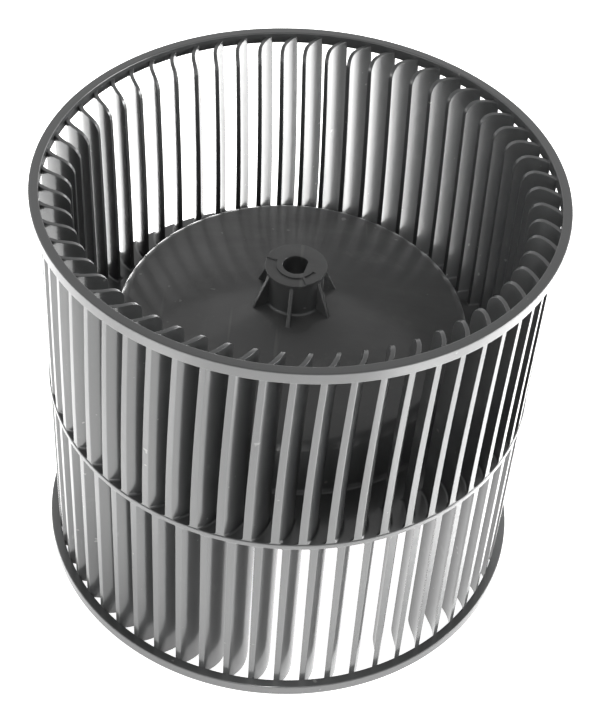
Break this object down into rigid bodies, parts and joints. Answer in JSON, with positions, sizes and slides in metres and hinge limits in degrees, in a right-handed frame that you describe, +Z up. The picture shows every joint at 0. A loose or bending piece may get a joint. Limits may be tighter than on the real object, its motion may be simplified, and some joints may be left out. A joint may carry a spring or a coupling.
{
  "type": "double-inlet centrifugal blower wheel",
  "caption": "Moulded double-inlet blower wheel: two rows of curved blades between end rings and a dished web, with a hub and D-shaped shaft bore.",
  "frame": {"origin": "centre of the lower end ring's rim, on the surface that the wheel stands on", "axes": "+Z up along the shaft, towards the end that the hub stands out to; +X and +Y are free"},
  "size_m": [0.156, 0.156, 0.143],
  "materials": {
    "moulded_plastic": "satin"
  },
  "bodies": {
    "root": {"blower_wheel": "moulded_plastic"}
  },
  "joints": []
}
